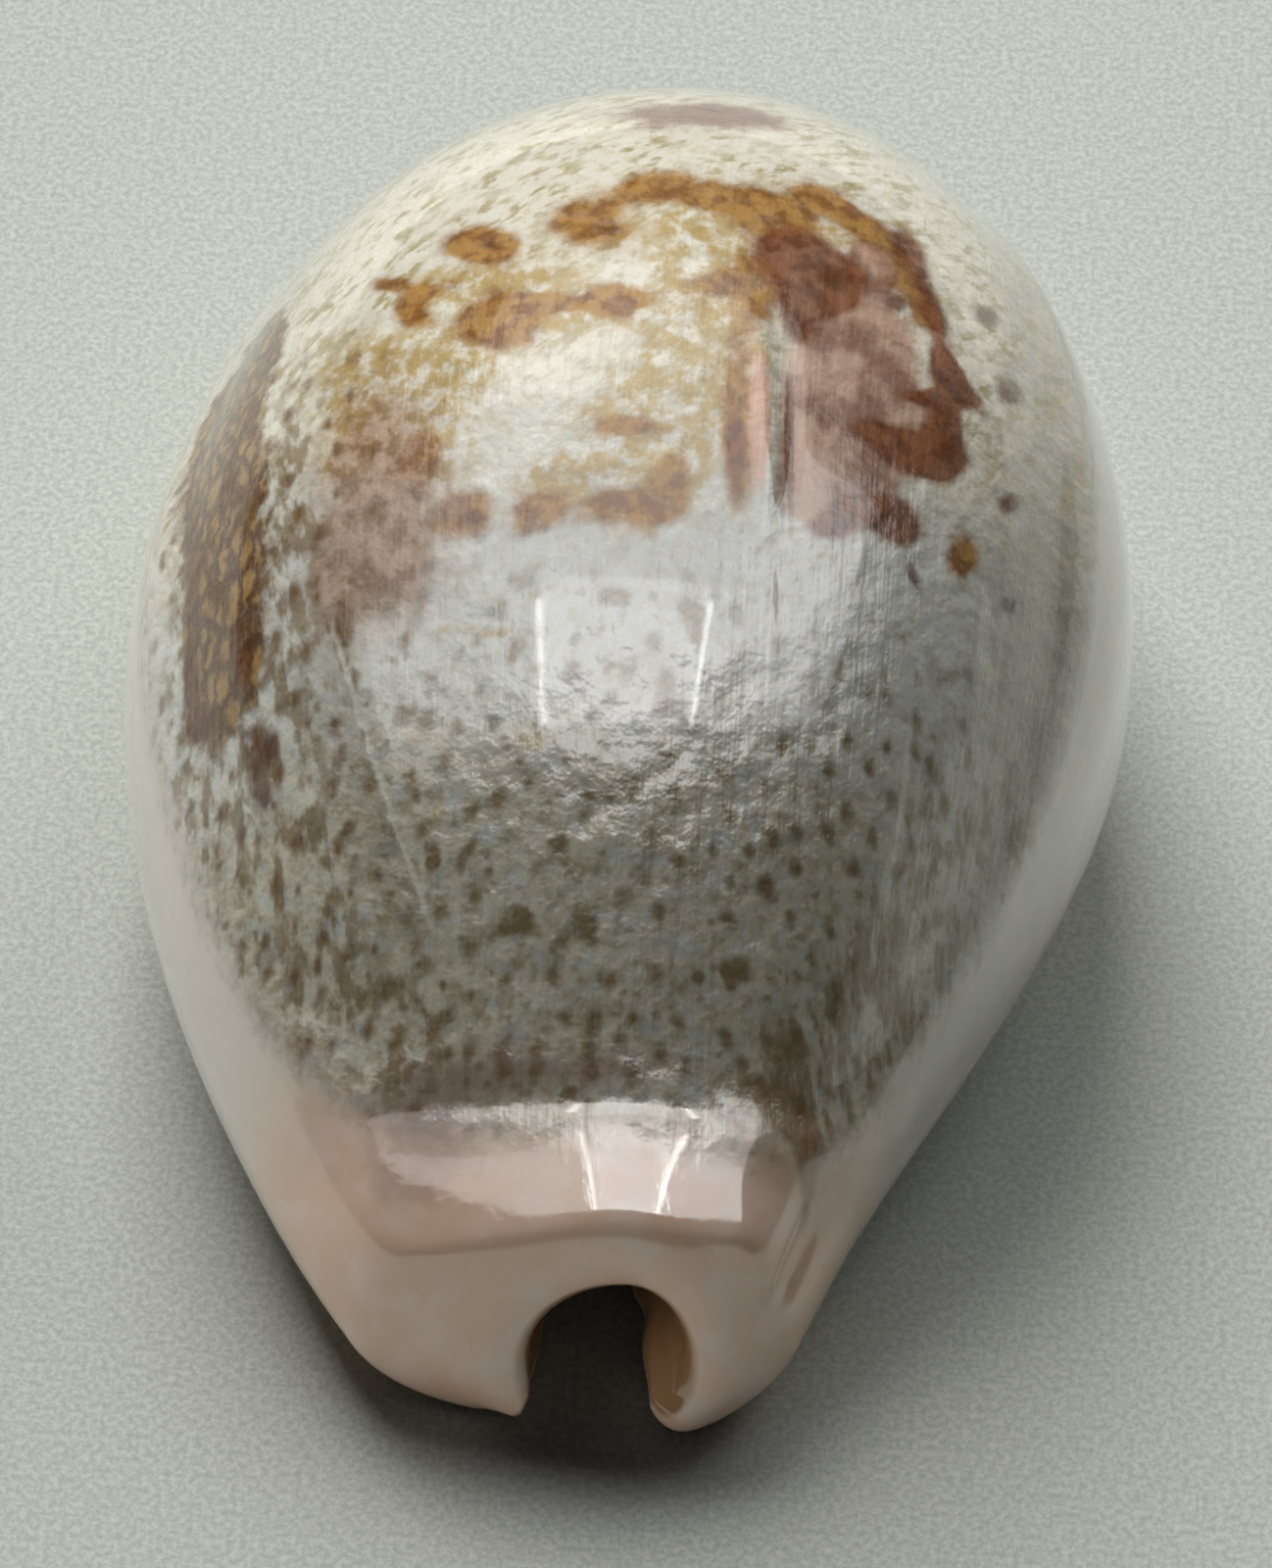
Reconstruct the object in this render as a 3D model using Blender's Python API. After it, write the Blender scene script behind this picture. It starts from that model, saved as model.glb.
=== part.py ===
"""A cowry shell resting on its base, built as one piece of folded shell wall.

The wall is a long C in section: it starts at the outer lip, goes over the back and ends at the
inner lip, with the narrow opening between the two lips underneath. The front canal is at -Y, the
spire end at +Y, the outer lip at -X and the inner lip at +X. Lengths below are in millimetres.
"""
import bpy
import numpy as np

for old in list(bpy.data.objects):
    bpy.data.objects.remove(old, do_unlink=True)

MM = 0.001

# One row for each station along the shell, front to back: position along Y, left edge, right
# edge, height of the back, height of the widest line, lowest point, crest X, middle of the
# opening X, half the width of the opening, and slope of the back (1 is an ellipse, less is fuller).
STATIONS = np.array([
    [-16.2, -4.4, 3.5, 5.1, 1.8, 0.00, 0.6, -0.25, 1.35, 1.00],
    [-14.8, -5.4, 4.1, 5.8, 2.1, 0.00, 0.4, -0.2, 1.10, 1.05],
    [-13.0, -6.6, 4.8, 6.3, 2.5, 0.00, 0.2, -0.3, 0.90, 1.05],
    [-11.0, -7.8, 5.8, 8.0, 2.9, -0.10, 0.1, -0.5, 0.75, 1.00],
    [-8.0, -9.3, 7.5, 11.4, 3.4, -0.22, 0.0, -0.7, 0.65, 0.92],
    [-4.0, -10.6, 9.4, 14.4, 3.8, -0.22, 0.0, -0.9, 0.60, 0.87],
    [0.0, -11.0, 10.4, 15.8, 4.1, -0.22, 0.0, -0.9, 0.55, 0.84],
    [4.0, -10.2, 10.2, 15.8, 4.3, -0.22, 0.1, -0.7, 0.50, 0.84],
    [8.0, -8.6, 8.9, 14.6, 4.4, -0.20, 0.2, -0.3, 0.50, 0.85],
    [11.5, -6.2, 7.2, 11.5, 4.1, -0.05, 0.5, 0.3, 0.50, 0.90],
    [14.0, -4.1, 5.6, 7.7, 3.5, 0.15, 0.8, 1.0, 0.52, 0.92],
    [15.5, -2.4, 4.4, 5.1, 2.7, 0.35, 1.0, 1.2, 0.58, 0.95],
    [16.4, -1.0, 3.3, 4.0, 2.1, 0.50, 1.1, 1.2, 0.62, 1.00],
])

# Wall at every second station: at the left edge, at the right edge, at the back, at the lips, and
# how far the widest line inside lies above the one outside.
WALLS = np.array([
    [3.3, 1.7, 1.3, 0.9, 0.3],
    [2.6, 2.6, 1.2, 1.7, 0.6],
    [2.0, 2.2, 1.1, 2.1, 1.0],
    [1.9, 1.9, 1.1, 2.2, 1.0],
    [2.0, 2.0, 1.1, 2.2, 1.0],
    [2.2, 2.2, 1.3, 2.0, 0.6],
    [1.4, 1.4, 1.5, 1.4, 0.2],
])

# Upper edge of the thick enamel along the left and the right side at each station, as a share of
# the way from the crest to the lip.
ENAMEL_EDGE = np.array([
    [0.20, 0.20], [0.25, 0.30], [0.28, 0.38], [0.37, 0.42], [0.40, 0.43], [0.41, 0.40], [0.40, 0.36],
    [0.40, 0.34], [0.40, 0.35], [0.41, 0.37], [0.42, 0.40], [0.42, 0.42], [0.40, 0.40],
])
ENAMEL_STEP = 0.35          # how far the back lies below the thick enamel
ENAMEL_FRONT = -11.4        # Y where it starts to cover the front end
ENAMEL_BACK = 14.3          # Y where it starts to cover the back end

BACK_SHARE = 0.6            # share of the way from crest to lip that is the arched back
BASE_FULLNESS = 2.3         # roundness of the underside corner, 2 is an ellipse

TOOTH_PITCH = 1.9
TOOTH_DEPTH = 0.30
TOOTH_REACH = (2.4, 1.7)    # how far the grooves run out from the outer and the inner lip
TEETH_SPAN = (-13.5, 13.3)  # Y of the first and the last tooth

RIDGE_SPAN = (-5.0, 2.8)    # old growth edge on the back, along Y
RIDGE_HEIGHT = 0.18

NOSE_HEIGHT = 0.35          # swelling on top of the front end
FURROWS = (0.10, 0.35)      # depth of the hollow on its left and on its right

# Where the cross lines and the length lines of the faces lie.
FRONT_LINES = [-16.2, -16.14, -15.95, -15.65, -15.2, -14.65, -14.05]
MIDDLE_LINES = np.arange(-13.6, 13.5, TOOTH_PITCH / 4)
BACK_LINES = [13.9, 14.5, 15.1, 15.6, 15.95, 16.2, 16.34, 16.4]
LEFT_LINES = [1, 0.992, 0.972, 0.94, 0.88, 0.80, 0.72, 0.65, 0.58, 0.50, 0.42, 0.34, 0.25, 0.165,
              0.08]
RIGHT_LINES = [0, 0.085, 0.10, 0.115, 0.13, 0.20, 0.28, 0.36, 0.42, 0.48, 0.55, 0.61, 0.68, 0.76,
               0.84, 0.90, 0.945, 0.975, 0.992, 1]


def through(rows, at):
    """Smooth curve through evenly spaced rows (natural cubic spline), read at places from 0 to 1."""
    last = len(rows) - 1
    links = np.eye(last + 1)
    for row in range(1, last):
        links[row, row - 1:row + 2] = 1, 4, 1
    bend = np.zeros(rows.shape)
    bend[1:-1] = 6 * np.diff(rows, 2, axis=0)
    bend = np.linalg.solve(links, bend)
    place = np.clip(at, 0, 1) * last
    row = np.minimum(place.astype(int), last - 1)
    part = (place - row)[:, None]
    straight = rows[row] * (1 - part) + rows[row + 1] * part
    curved = bend[row] * ((1 - part) ** 3 - (1 - part)) + bend[row + 1] * (part ** 3 - part)
    return straight + curved / 6


def smooth(value):
    """Rises from 0 to 1 with level ends."""
    value = np.clip(value, 0, 1)
    return value * value * (3 - 2 * value)


def spaced(x, z, share):
    """Points at the given shares of the length of each row's curve."""
    steps = np.hypot(np.diff(x), np.diff(z))
    run = np.hstack([np.zeros((len(x), 1)), np.cumsum(steps, axis=1)])
    run /= run[:, -1:]
    across = [np.interp(share, one, value) for one, value in zip(run, x)]
    up = [np.interp(share, one, value) for one, value in zip(run, z)]
    return np.array(across), np.array(up)


def half_section(edge, crest, top, widest, lip, low, slope, share):
    """One side of a section: an arched quarter from crest to widest line, then one down to the lip."""
    edge, crest, top, widest, lip, low, slope = (
        value[:, None] for value in (edge, crest, top, widest, lip, low, slope))
    turn = np.linspace(0, np.pi / 2, 240)[None]
    back_x = crest + (edge - crest) * np.sin(turn)
    back_z = widest + (top - widest) * np.cos(turn) ** slope
    base_x = lip + (edge - lip) * np.cos(turn) ** (2 / BASE_FULLNESS)
    base_z = widest - (widest - low) * np.sin(turn) ** (2 / BASE_FULLNESS)
    upper_x, upper_z = spaced(back_x, back_z, np.clip(share / BACK_SHARE, 0, 1))
    lower_x, lower_z = spaced(base_x, base_z, np.clip((share - BACK_SHARE) / (1 - BACK_SHARE), 0, 1))
    above = share < BACK_SHARE
    return np.where(above, upper_x, lower_x), np.where(above, upper_z, lower_z)


def skin(side, at, inside):
    """The outer or the inner face of the wall, before the rims are rounded."""
    y, left, right, top, widest, low, crest, opening, gap, slope = through(STATIONS, at).T
    wall_left, wall_right, wall_back, wall_lip, rise = through(WALLS, at).T
    if inside:
        left = left + wall_left
        right = right - wall_right
        top = top - wall_back
        widest = widest + rise
        low = low + wall_lip
    share = np.abs(side)
    left_x, left_z = half_section(left, crest, top, widest, opening - gap, low, slope, share)
    right_x, right_z = half_section(right, crest, top, widest, opening + gap, low, slope, share)
    x = np.where(side < 0, left_x, right_x)
    z = np.where(side < 0, left_z, right_z)
    # Both ends lean back at the top, and the corners beside the opening are rounded off.
    front = np.exp(-(at[:, None] / 0.10) ** 2)
    back = np.exp(-((1 - at[:, None]) / 0.08) ** 2)
    lean = np.clip(z / 4.5, 0, 1.3)
    corner = np.clip((share - 0.86) / 0.14, 0, 1) ** 2
    slant = 1.9 if inside else 1.6
    trim = np.where(side < 0, 0.2, 0.5) * corner
    y = y[:, None] + front * (slant * lean + trim) - back * (0.8 * lean + 0.6 * corner)
    return np.stack([x, y, z], axis=-1)


def rounding(distance, radius):
    """Height of a quarter circle at a distance from the rim, as a share of its radius."""
    part = np.clip(distance / radius, 0, 1)
    return np.sqrt(1 - (1 - part) ** 2)


def blend(first, second):
    """The larger of two lengths, with the corner between them rounded."""
    return (first + second + np.sqrt((first - second) ** 2 + 4)) / 2


def shell_wall(side, at):
    """Outer and inner faces of the finished wall, meeting in one line all round their borders."""
    outer = skin(side, at, False)
    inner = skin(side, at, True)
    share = np.abs(side)
    middle = outer + (0.5 + 0.3 * np.exp(-(at / 0.08) ** 2))[:, None, None] * (inner - outer)
    along = np.linalg.norm(np.diff(middle, axis=0), axis=-1)
    across = np.linalg.norm(np.diff(middle, axis=1), axis=-1)
    from_front = np.vstack([np.zeros((1, len(side))), np.cumsum(along, axis=0)])
    from_back = from_front[-1:] - from_front
    from_left = np.hstack([np.zeros((len(at), 1)), np.cumsum(across, axis=1)])
    from_right = from_left[:, -1:] - from_left
    from_lip = np.minimum(from_left, from_right)
    # Grooves between the teeth: cut into the underside and back from the opening.
    y = middle[..., 1]
    turn = 2 * np.pi * (y - TEETH_SPAN[0]) / TOOTH_PITCH + np.where(side < 0, 0, np.pi)
    ends = smooth((y - TEETH_SPAN[0] + 1) / 1.5) * smooth((TEETH_SPAN[1] + 1 - y) / 1.5)
    reach = np.where(side < 0, TOOTH_REACH[0], TOOTH_REACH[1])
    groove = (0.5 - 0.5 * np.cos(turn)) * ends * smooth(1.4 - 1.4 * from_lip / reach)
    outer[..., 2] += TOOTH_DEPTH * groove
    away = np.sign(side) * 0.22 * groove
    for face in (outer, middle, inner):
        face[..., 0] += away
    # The back lies a little below the thick enamel of the sides and of both ends.
    edge = through(ENAMEL_EDGE, at)
    edge = np.where(side < 0, edge[:, :1], edge[:, 1:])
    over = blend((share - edge) * 26, (ENAMEL_FRONT - y) * 1.2)
    over = blend(over, (y - ENAMEL_BACK) * 1.2)
    lower = ENAMEL_STEP * (1 - smooth(over / 1.4))
    # The old growth edge: a low rib with a furrow on its right.
    span = smooth((y - RIDGE_SPAN[0]) / 2.5) * smooth((RIDGE_SPAN[1] - y) / 1.2)
    off = (side - 0.090 + 0.005 * y) / 0.012
    rib = np.exp(-off ** 2) - 0.7 * np.exp(-(off - 1.3) ** 2)
    lower = lower - RIDGE_HEIGHT * span * rib
    # The front end swells on top, with a hollow between the swelling and each side.
    nose = smooth((ENAMEL_FRONT - y) / 1.5) * smooth((y + 16.4) / 1.5)
    hollow = np.where(side < 0, FURROWS[0], FURROWS[1]) * np.exp(-((share - 0.47) / 0.06) ** 2)
    lower = lower + nose * (hollow - NOSE_HEIGHT * np.exp(-(side / 0.25) ** 2))
    finished = []
    for face, change in ((outer, lower), (inner, 0)):
        thick = np.linalg.norm(face - middle, axis=-1)
        shape = np.ones(thick.shape)
        for distance in (from_front, from_back, from_left, from_right):
            shape = shape * rounding(distance, thick)
        shape = shape * (1 - change / np.maximum(thick, 0.4))
        finished.append(middle + (face - middle) * shape[..., None])
    outer, inner = finished
    # The underside is level where it rests.
    outer[..., 2] = np.maximum(outer[..., 2], 0)
    return outer, inner


def closed_faces(rows, columns):
    """Triangles of the two faces, sharing the points of the border."""
    first = np.arange(rows * columns).reshape(rows, columns)
    second = first + rows * columns
    second[[0, -1]] = first[[0, -1]]
    second[:, [0, -1]] = first[:, [0, -1]]
    triangles = []
    for grid, outward in ((first, True), (second, False)):
        for row in range(rows - 1):
            for column in range(columns - 1):
                a, b = grid[row, column], grid[row, column + 1]
                d, c = grid[row + 1, column], grid[row + 1, column + 1]
                if (row < rows // 2) == (column < columns // 2):
                    pair = [(a, b, c), (a, c, d)]
                else:
                    pair = [(a, b, d), (b, c, d)]
                triangles += pair if outward else [face[::-1] for face in pair]
    return triangles


lines = np.concatenate([FRONT_LINES, MIDDLE_LINES, BACK_LINES])
side = np.concatenate([-np.array(LEFT_LINES), RIGHT_LINES])
fine = np.linspace(0, 1, 2001)
at = np.interp(lines, through(STATIONS, fine)[:, 0], fine)
outer, inner = shell_wall(side, at)

points = np.concatenate([outer.reshape(-1, 3), inner.reshape(-1, 3)]) * MM
triangles = np.array(closed_faces(len(at), len(side)))
used, triangles = np.unique(triangles, return_inverse=True)
points = points[used]
middle_line = (points[:, 1].min() + points[:, 1].max()) / 2
points[:, 1] -= middle_line
middle_line = (points[:, 0].min() + points[:, 0].max()) / 2
points[:, 0] -= middle_line

mesh = bpy.data.meshes.new("shell")
mesh.from_pydata([tuple(map(float, point)) for point in points], [],
                 [tuple(map(int, face)) for face in triangles.reshape(-1, 3)])
mesh.update()

enamel = bpy.data.materials.new("shell enamel")
enamel.use_nodes = True
surface = enamel.node_tree.nodes["Principled BSDF"]
surface.inputs["Base Color"].default_value = (0.72, 0.66, 0.58, 1)
surface.inputs["Roughness"].default_value = 0.18
surface.inputs["IOR"].default_value = 1.6
mesh.materials.append(enamel)

group = bpy.data.collections.new("cypraea subviridis")
bpy.context.scene.collection.children.link(group)
shell = bpy.data.objects.new("shell", mesh)
group.objects.link(shell)
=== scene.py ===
import math

import bpy
import numpy as np
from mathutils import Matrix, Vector


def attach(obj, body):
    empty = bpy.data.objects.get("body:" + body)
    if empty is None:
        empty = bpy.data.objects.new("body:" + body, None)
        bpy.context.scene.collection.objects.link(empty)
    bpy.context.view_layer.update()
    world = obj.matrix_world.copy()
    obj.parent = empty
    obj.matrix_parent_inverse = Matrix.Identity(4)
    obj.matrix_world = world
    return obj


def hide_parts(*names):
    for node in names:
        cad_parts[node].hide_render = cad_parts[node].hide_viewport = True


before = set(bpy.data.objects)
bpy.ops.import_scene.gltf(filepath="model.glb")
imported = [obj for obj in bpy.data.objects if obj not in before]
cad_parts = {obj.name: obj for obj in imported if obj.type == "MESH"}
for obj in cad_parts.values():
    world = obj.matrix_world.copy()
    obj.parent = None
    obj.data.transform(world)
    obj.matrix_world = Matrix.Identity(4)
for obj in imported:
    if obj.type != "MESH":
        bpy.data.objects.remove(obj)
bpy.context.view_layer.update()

# The table. A sheet of plain pale grey-green board with a fine grain, for the shell to stand on.
# It is only a stage, so it is one flat square, larger than the camera sees.

BOARD_HALF = 1.5
BOARD_DARK = (175, 178, 170)
BOARD_LIGHT = (204, 207, 198)
GRAIN = {"Scale": 7000.0, "Detail": 3.0, "Roughness": 0.7}


def part(tree, kind, inputs, output=0, **settings):
    """One step of a material: sets it up, joins or fills its inputs and gives back one output."""
    made = tree.nodes.new("ShaderNode" + kind)
    for name, value in settings.items():
        setattr(made, name, value)
    for name, value in inputs.items():
        if isinstance(value, bpy.types.NodeSocket):
            tree.links.new(value, made.inputs[name])
        else:
            made.inputs[name].default_value = value
    return made.outputs[output]


def tint(red, green, blue):
    """A colour read from a chart in steps of 0 to 255, as the light that it sends back."""
    return tuple((value / 255) ** 2.2 for value in (red, green, blue)) + (1,)


def blank(name):
    """A new material; gives back it, its steps and its surface."""
    material = bpy.data.materials.new(name)
    material.use_nodes = True
    return material, material.node_tree, material.node_tree.nodes["Principled BSDF"]


def lay(tree, under, colour, amount):
    """Lays one colour over another, from not at all at 0 to fully at 1."""
    return part(tree, "Mix", {0: amount, 6: under, 7: colour}, 2, data_type="RGBA")


def fade(tree, value, none, full):
    """Goes smoothly from 0, where the value is `none`, to 1, where it is `full`."""
    return part(tree, "MapRange", {0: value, 1: none, 2: full}, interpolation_type="SMOOTHSTEP")


board, steps, surface = blank("grey board")
place = part(steps, "TexCoord", {}, "Object")
grain = part(steps, "TexNoise", {"Vector": place, **GRAIN})
board_colour = lay(steps, tint(*BOARD_DARK), tint(*BOARD_LIGHT), fade(steps, grain, 0.3, 0.7))
steps.links.new(board_colour, surface.inputs["Base Color"])
surface.inputs["Roughness"].default_value = 0.9
surface.inputs["Specular IOR Level"].default_value = 0.0

corners = np.array([[-1, -1], [1, -1], [1, 1], [-1, 1]]) * BOARD_HALF
sheet = bpy.data.meshes.new("table")
sheet.from_pydata([(float(x), float(y), 0.0) for x, y in corners], [], [(0, 1, 2, 3)])
table = bpy.data.objects.new("table", sheet)
sheet.materials.append(board)
bpy.context.scene.collection.objects.link(table)

# The shell. One piece of folded lime wall that the animal grew, thin over the back and thick at
# the base, coated all over with glassy enamel. In section it is a long C that starts at the
# outer lip, goes over the back and ends at the inner lip, and it stands on its own base.

# One row for each station along the shell, front to back, in millimetres: position along Y, left
# edge, right edge, height of the back, height of the widest line, lowest point, crest X, middle
# of the opening X, half its width, and slope of the back (1 is an ellipse, less is fuller).
STATIONS = np.array([
    [-16.2, -4.4, 3.5, 5.1, 1.8, 0.00, 0.6, -0.25, 1.35, 1.00],
    [-14.8, -5.4, 4.1, 5.8, 2.1, 0.00, 0.4, -0.2, 1.10, 1.05],
    [-13.0, -6.6, 4.8, 6.3, 2.5, 0.00, 0.2, -0.3, 0.90, 1.05],
    [-11.0, -7.8, 5.8, 8.0, 2.9, -0.10, 0.1, -0.5, 0.75, 1.00],
    [-8.0, -9.3, 7.5, 11.4, 3.4, -0.22, 0.0, -0.7, 0.65, 0.92],
    [-4.0, -10.6, 9.4, 14.4, 3.8, -0.22, 0.0, -0.9, 0.60, 0.87],
    [0.0, -11.0, 10.4, 15.8, 4.1, -0.22, 0.0, -0.9, 0.55, 0.84],
    [4.0, -10.2, 10.2, 15.8, 4.3, -0.22, 0.1, -0.7, 0.50, 0.84],
    [8.0, -8.6, 8.9, 14.6, 4.4, -0.20, 0.2, -0.3, 0.50, 0.85],
    [11.5, -6.2, 7.2, 11.5, 4.1, -0.05, 0.5, 0.3, 0.50, 0.90],
    [14.0, -4.1, 5.6, 7.7, 3.5, 0.15, 0.8, 1.0, 0.52, 0.92],
    [15.5, -2.4, 4.4, 5.1, 2.7, 0.35, 1.0, 1.2, 0.58, 0.95],
    [16.4, -1.0, 3.3, 4.0, 2.1, 0.50, 1.1, 1.2, 0.62, 1.00],
])

# Wall at every second station: at the left edge, at the right edge, at the back, at the lips, and
# how far the widest line inside lies above the one outside.
WALLS = np.array([
    [3.3, 1.7, 1.3, 0.9, 0.3],
    [2.6, 2.6, 1.2, 1.7, 0.6],
    [2.0, 2.2, 1.1, 2.1, 1.0],
    [1.9, 1.9, 1.1, 2.2, 1.0],
    [2.0, 2.0, 1.1, 2.2, 1.0],
    [2.2, 2.2, 1.3, 2.0, 0.6],
    [1.4, 1.4, 1.5, 1.4, 0.2],
])

# Upper edge of the thick enamel on the left and the right at each station, as a share of the way
# from the crest to the lip.
ENAMEL_EDGE = np.array([
    [0.20, 0.20], [0.25, 0.30], [0.28, 0.38], [0.37, 0.42], [0.40, 0.43], [0.41, 0.40],
    [0.40, 0.36], [0.40, 0.34], [0.40, 0.35], [0.41, 0.37], [0.42, 0.40], [0.42, 0.42],
    [0.40, 0.40],
])
ENAMEL_STEP = 0.35
ENAMEL_FRONT = -11.4
ENAMEL_BACK = 14.3
FLANK_WIDTH = 26

# Section: share of the way round that belongs to the back, and power of the ellipse of the base.
BACK_SHARE = 0.6
BASE_FULLNESS = 2.3

# Ends: how far along the shell each end's lean reaches, as a share of its length, and how far it
# leans, in front for the outer and the inner face, and behind.
FRONT_REACH = 0.10
BACK_REACH = 0.08
FRONT_LEAN = (1.6, 1.9)
BACK_LEAN = 0.8
LEAN_HEIGHT = 4.5

# Corners beside the opening: where they start, and how far the left one and the right one in
# front, and both behind, are drawn back.
CORNER_START = 0.86
FRONT_TRIM = (0.2, 0.5)
BACK_TRIM = 0.6

# Teeth: spacing, depth, sideways swing, length on the left and the right, and where they stand.
TOOTH_PITCH = 1.9
TOOTH_DEPTH = 0.30
TOOTH_SWING = 0.22
TOOTH_REACH = (2.4, 1.7)
TEETH_SPAN = (-13.5, 13.3)

# Rib of the scar: its front and back end, height, side at Y 0, drift to the side per millimetre
# of Y, and half width. A furrow runs along it.
RIDGE_SPAN = (-3.6, 2.4)
RIDGE_HEIGHT = 0.11
RIDGE_SIDE = 0.090
RIDGE_DRIFT = 0.005
RIDGE_WIDTH = 0.012

# Nose over the front canal: its height, half width and front end, its roof (height, Y and slope
# at that Y, bend, X of the crest, fall to the sides and its spread), and the furrows beside it
# (depth on the left and the right, side, half width and front end).
NOSE_HEIGHT = 0.35
NOSE_WIDTH = 0.25
NOSE_FRONT = -16.4
NOSE_ROOF = [6.62, -12.0, 0.47, 0.061, 0.45, 0.20, 0.05]
FURROWS = (0.10, 0.35)
FURROW_SIDE = 0.47
FURROW_WIDTH = 0.06
FURROW_FRONT = -15.2

# Old edges of growth that cross the back: side of the crest and Y of the front and the back end,
# height of the step, and on which side it drops, -1 to the left and 1 to the right.
GROWTH_STEPS = [
    [-0.190, -10.0, -0.262, -2.0, 0.06, -1],
    [0.335, -8.6, 0.232, -3.2, 0.05, 1],
    [0.322, -3.6, 0.296, -1.8, 0.04, 1],
]


def through(rows, at):
    """Smooth curve through evenly spaced rows, read at places from 0 to 1: a natural cubic spline,
    the straight line between two rows plus a cube for the bend at each."""
    last = len(rows) - 1
    links = np.eye(last + 1)
    for row in range(1, last):
        links[row, row - 1:row + 2] = 1, 4, 1
    bend = np.zeros(rows.shape)
    bend[1:-1] = 6 * np.diff(rows, 2, axis=0)
    bend = np.linalg.solve(links, bend)
    spot = np.clip(at, 0, 1) * last
    row = np.minimum(spot.astype(int), last - 1)
    rest = (spot - row)[:, None]
    straight = rows[row] * (1 - rest) + rows[row + 1] * rest
    curved = bend[row] * ((1 - rest) ** 3 - (1 - rest)) + bend[row + 1] * (rest ** 3 - rest)
    return straight + curved / 6


def smooth(value):
    """Rises from 0 to 1 with level ends: three squares less two cubes."""
    value = np.clip(value, 0, 1)
    return value * value * (3 - 2 * value)


def spaced(x, z, share):
    """Points at the given shares of the length of each row's curve."""
    lengths = np.hypot(np.diff(x), np.diff(z))
    run = np.hstack([np.zeros((len(x), 1)), np.cumsum(lengths, axis=1)])
    run /= run[:, -1:]
    across = [np.interp(share, one, value) for one, value in zip(run, x)]
    up = [np.interp(share, one, value) for one, value in zip(run, z)]
    return np.array(across), np.array(up)


def half_section(edge, crest, top, widest, lip, low, slope, share):
    """One side of a section. From crest to widest line X follows the sine and the height a power
    of the cosine; from there to the lip both follow a squarer ellipse."""
    edge, crest, top, widest, lip, low, slope = (
        value[:, None] for value in (edge, crest, top, widest, lip, low, slope))
    turn = np.linspace(0, np.pi / 2, 600)[None]
    back_x = crest + (edge - crest) * np.sin(turn)
    back_z = widest + (top - widest) * np.cos(turn) ** slope
    base_x = lip + (edge - lip) * np.cos(turn) ** (2 / BASE_FULLNESS)
    base_z = widest - (widest - low) * np.sin(turn) ** (2 / BASE_FULLNESS)
    on_back = np.clip(share / BACK_SHARE, 0, 1)
    on_base = np.clip((share - BACK_SHARE) / (1 - BACK_SHARE), 0, 1)
    upper_x, upper_z = spaced(back_x, back_z, on_back)
    lower_x, lower_z = spaced(base_x, base_z, on_base)
    above = share < BACK_SHARE
    return np.where(above, upper_x, lower_x), np.where(above, upper_z, lower_z)


def skin(side, at, inside):
    """The outer or the inner face of the wall before its rims are rounded: the sections of all
    stations, one behind the other, with both ends leaning back at the top."""
    y, left, right, top, widest, low, crest, opening, gap, slope = through(STATIONS, at).T
    wall_left, wall_right, wall_back, wall_lip, rise = through(WALLS, at).T
    if inside:
        left = left + wall_left
        right = right - wall_right
        top = top - wall_back
        widest = widest + rise
        low = low + wall_lip
    share = np.abs(side)
    left_x, left_z = half_section(left, crest, top, widest, opening - gap, low, slope, share)
    right_x, right_z = half_section(right, crest, top, widest, opening + gap, low, slope, share)
    x = np.where(side < 0, left_x, right_x)
    z = np.where(side < 0, left_z, right_z)
    front = np.exp(-(at[:, None] / FRONT_REACH) ** 2)
    back = np.exp(-((1 - at[:, None]) / BACK_REACH) ** 2)
    lean = np.clip(z / LEAN_HEIGHT, 0, 1.3)
    corner = np.clip((share - CORNER_START) / (1 - CORNER_START), 0, 1) ** 2
    trim = np.where(side < 0, *FRONT_TRIM) * corner
    y = y[:, None] + front * (FRONT_LEAN[inside] * lean + trim)
    y = y - back * (BACK_LEAN * lean + BACK_TRIM * corner)
    return np.stack([x, y, z], axis=-1)


def rounding(distance, radius):
    """Height of a quarter circle at a distance from the rim, as a share of its radius."""
    share = np.clip(distance / radius, 0, 1)
    return np.sqrt(1 - (1 - share) ** 2)


def blend(first, second):
    """The larger of two lengths, with the corner between them rounded."""
    return (first + second + np.sqrt((first - second) ** 2 + 4)) / 2


def into_enamel(side, at, y):
    """How far a place lies inside the thick enamel of the sides and both ends, in millimetres."""
    edge = through(ENAMEL_EDGE, at)
    edge = np.where(side < 0, edge[:, :1], edge[:, 1:])
    depth = blend((np.abs(side) - edge) * FLANK_WIDTH, (ENAMEL_FRONT - y) * 1.2)
    return blend(depth, (y - ENAMEL_BACK) * 1.2)


def under_roof(outer):
    """Heights kept below a slanting roof over the nose, with the edge softened: a parabola towards
    the front and a hyperbola to both sides, wider towards the front, which curls up behind."""
    height, at_y, slope, bend, at_x, fall, spread = NOSE_ROOF
    x, y, z = outer[..., 0] - at_x, outer[..., 1] - at_y, outer[..., 2]
    roof = height + slope * y - bend * np.clip(y, None, 0) ** 2 + 1.5 * np.clip(y, 0, None) ** 2
    roof = roof - (fall - spread * np.clip(y, None, 0)) * (np.sqrt(x * x + 1) - 1)
    return (z + roof - np.sqrt((z - roof) ** 2 + 0.02)) / 2


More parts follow.
